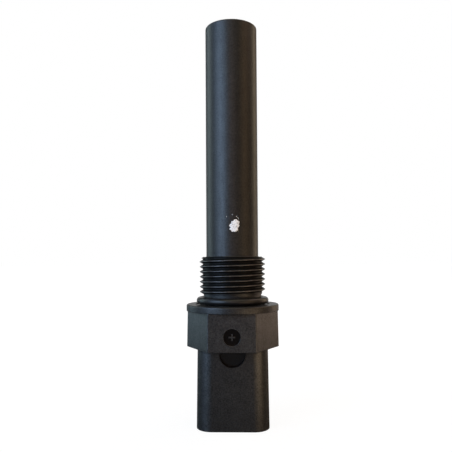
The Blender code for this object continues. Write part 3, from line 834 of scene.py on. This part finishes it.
def build_pins(material):
    """Contact pins with domed tips and turned shoulders."""
    radius = 0.8 * MM
    tail = 0.6 * MM
    shoulder_top = 32.7 * MM
    shoulder_base = 30.3 * MM
    for side in ("left", "right"):
        low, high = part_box(f"contact_pin_{side}")
        shoulder = (high.x - low.x) / 2
        corners = [
            (0.0, high.z, 0.0),
            (tail, high.z, 0.1 * MM),
            (tail, shoulder_top, 0.0),
            (shoulder, shoulder_top, 0.1 * MM),
            (shoulder, shoulder_base, 0.1 * MM),
            (radius, shoulder_base, 0.0),
            (radius, low.z, 0.7 * MM),
            (0.0, low.z, 0.0),
        ]
        pin = lathe(f"socket_pin_{side}", rounded(corners, 8), PIN_STEPS, (low.x + high.x) / 2)
        smooth(pin)
        dress(pin, material, "pin_metal", f"contact_pin_{side}")


def dress_inner_nodes():
    """Finishes of the pieces inside the barrel, which keep their solids."""
    finishes = {
        "inner": socket_nylon(),
        "epoxy": plastic("epoxy_black_poured", ("#151413", "#201e1c"), (0.18, 0.32), 1.55, 0.8),
        "lead": plastic("insulation_grey_extruded", ("#5a5753", "#6f6b66"), (0.4, 0.55), 1.5, 2.0),
        "sleeve": plastic("polyolefin_black_shrunk", ("#161616", "#222222"), (0.45, 0.65), 1.5, 2.5),
        "copper": metal("copper_enamelled_wound", ("#8c3f1a", "#c46a35"), (0.25, 0.4), (6.0, 6.0, 0.3)),
        "tape": plastic("polyester_tape_amber", ("#a06a12", "#c08a24"), (0.2, 0.35), 1.6, 1.5),
        "iron": metal("iron_soft_turned", ("#77746f", "#96928c"), (0.3, 0.5), (1.0, 1.0, 0.2)),
        "magnet": metal("nickel_plated", ("#a8a39a", "#c9c4ba"), (0.15, 0.3)),
        "brass": metal("brass_drawn", ("#b08a3e", "#d8b462"), (0.2, 0.35), (0.3, 0.3, 3.0)),
    }
    by_node = {
        "pin_header": "inner",
        "epoxy_seal": "epoxy",
        "wire_carrier": "inner",
        "lead_left": "lead",
        "lead_right": "lead",
        "pin_sleeve_left": "sleeve",
        "pin_sleeve_right": "sleeve",
        "post_sleeve_left": "sleeve",
        "post_sleeve_right": "sleeve",
        "bobbin": "inner",
        "coil_winding": "copper",
        "coil_tape": "tape",
        "pole_piece": "iron",
        "magnet": "magnet",
        "back_iron": "iron",
        "coil_post_left": "brass",
        "coil_post_right": "brass",
    }
    for node, kind in by_node.items():
        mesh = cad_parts[node].data
        mesh.materials.clear()
        mesh.materials.append(finishes[kind])


# Studio


def white_behind(tree, place):
    """1 where the white background is seen: by the camera, or on the object's far side in a reflection."""
    heading = add(tree, "ShaderNodeVectorMath", {0: place}, operation="NORMALIZE")
    away = add(tree, "ShaderNodeSeparateXYZ", {"Vector": heading}).outputs["Y"]
    behind = add(tree, "ShaderNodeMath", {0: away, 1: BACKDROP_EDGE}, operation="GREATER_THAN")
    path = add(tree, "ShaderNodeLightPath").outputs
    bounced = {0: path["Is Glossy Ray"], 1: path["Is Transmission Ray"]}
    shiny = add(tree, "ShaderNodeMath", bounced, operation="MAXIMUM")
    held = add(tree, "ShaderNodeMath", {0: shiny, 1: behind}, operation="MULTIPLY")
    return add(tree, "ShaderNodeMath", {0: path["Is Camera Ray"], 1: held}, operation="MAXIMUM")


def build_floor():
    """A grey matt floor, lifted to white where the camera sees it, apart from the object's shadow."""
    bm = bmesh.new()
    bmesh.ops.create_grid(bm, x_segments=1, y_segments=1, size=FLOOR_SIZE)
    mesh = bpy.data.meshes.new("floor")
    bm.to_mesh(mesh)
    bm.free()
    material, tree, shader = new_material("floor_matt_grey", Base_Color=srgb(FLOOR_COLOUR), Roughness=0.9)
    place = add(tree, "ShaderNodeTexCoord").outputs["Object"]
    seen = white_behind(tree, place)
    away = add(tree, "ShaderNodeVectorMath", {0: place}, operation="LENGTH")
    glow = {"From Max": SHADOW_REACH, "To Min": FLOOR_GLOW_NEAR, "To Max": FLOOR_GLOW_FAR}
    level = add(tree, "ShaderNodeMapRange", {"Value": away, **glow})
    bright = add(tree, "ShaderNodeMath", {0: seen, 1: level}, operation="MULTIPLY")
    lifted = add(tree, "ShaderNodeEmission", {"Color": srgb("#ffffff"), "Strength": bright})
    both = add(tree, "ShaderNodeAddShader", {0: shader, 1: lifted})
    feed(tree, tree.nodes["Material Output"], {"Surface": both})
    mesh.materials.append(material)
    add_object("floor", mesh)


def build_world():
    """A dim warm room with a darker ceiling, and a white backdrop on the far side of the object."""
    world = bpy.data.worlds.new("room")
    bpy.context.scene.world = world
    world.use_nodes = True
    tree = world.node_tree
    tree.nodes.clear()
    place = add(tree, "ShaderNodeTexCoord").outputs["Generated"]
    seen = white_behind(tree, place)
    heading = add(tree, "ShaderNodeVectorMath", {0: place}, operation="NORMALIZE")
    up = add(tree, "ShaderNodeSeparateXYZ", {"Vector": heading}).outputs["Z"]
    towards_ceiling = {"From Min": 0.25, "From Max": 0.8, "To Min": 1.0, "To Max": CEILING_DIM}
    dimming = {"Value": up, **towards_ceiling}
    strength = add(tree, "ShaderNodeMapRange", dimming, interpolation_type="SMOOTHSTEP")
    room = add(tree, "ShaderNodeBackground", {"Color": (*ROOM_TINT, 1.0), "Strength": strength})
    white = add(tree, "ShaderNodeBackground", {"Color": srgb("#ffffff"), "Strength": 1.0})
    mixed = add(tree, "ShaderNodeMixShader", {0: seen, 1: room, 2: white})
    add(tree, "ShaderNodeOutputWorld", {"Surface": mixed})


def build_lights():
    """Soft boxes that face the object's axis; azimuth 0 is the camera's side, positive to its right."""
    for name, (azimuth, lift, distance, width, tall, tint, power) in LAMPS.items():
        light = bpy.data.lights.new(name, "AREA")
        light.shape = "RECTANGLE"
        light.size = width
        light.size_y = tall
        light.color = tint
        light.energy = power
        turn = math.radians(azimuth)
        rise = math.radians(lift)
        aim = Vector((0.0, 0.0, LAMP_AIM_Z))
        away = Vector((math.sin(turn) * math.cos(rise), -math.cos(turn) * math.cos(rise), math.sin(rise)))
        made = add_object(name, light)
        made.visible_camera = False
        made.location = aim + distance * away
        made.rotation_euler = (-away).to_track_quat("-Z", "Y").to_euler()


def build_camera():
    """The photograph's view: 162 mm from the axis, level, 50 mm above the rim."""
    # In pixels of the photograph; the axis stands right of its middle, and the horizon below it
    focal = 535.2
    frame_width = 452.0
    axis_right = 6.3
    horizon_down = 32.8
    distance = 162.0 * MM
    height = 50.3 * MM
    azimuth = math.radians(1.2)
    heading = azimuth + math.atan(axis_right / focal)
    roll = math.radians(-0.36)
    data = bpy.data.cameras.new("camera")
    data.lens = focal / frame_width * data.sensor_width
    data.shift_y = horizon_down / frame_width
    data.clip_start = 5.0 * MM
    camera = add_object("camera", data)
    stand = Matrix.Translation((distance * math.sin(azimuth), -distance * math.cos(azimuth), height))
    level = Matrix.Rotation(heading, 4, "Z") @ Matrix.Rotation(math.radians(90), 4, "X")
    camera.matrix_world = stand @ level @ Matrix.Rotation(roll, 4, "Z")
    bpy.context.scene.camera = camera


def main():
    build_camera()
    build_moulding(glass_filled_nylon())
    build_seal_ring(nitrile_rubber())
    build_pins(metal("tin_plated_brass", ("#b9b3a5", "#d9d4c8"), (0.22, 0.38), (1.0, 1.0, 4.0)))
    build_paint(inspection_paint())
    dress_inner_nodes()
    build_floor()
    build_world()
    build_lights()
    bpy.context.scene.view_settings.view_transform = "Standard"


main()
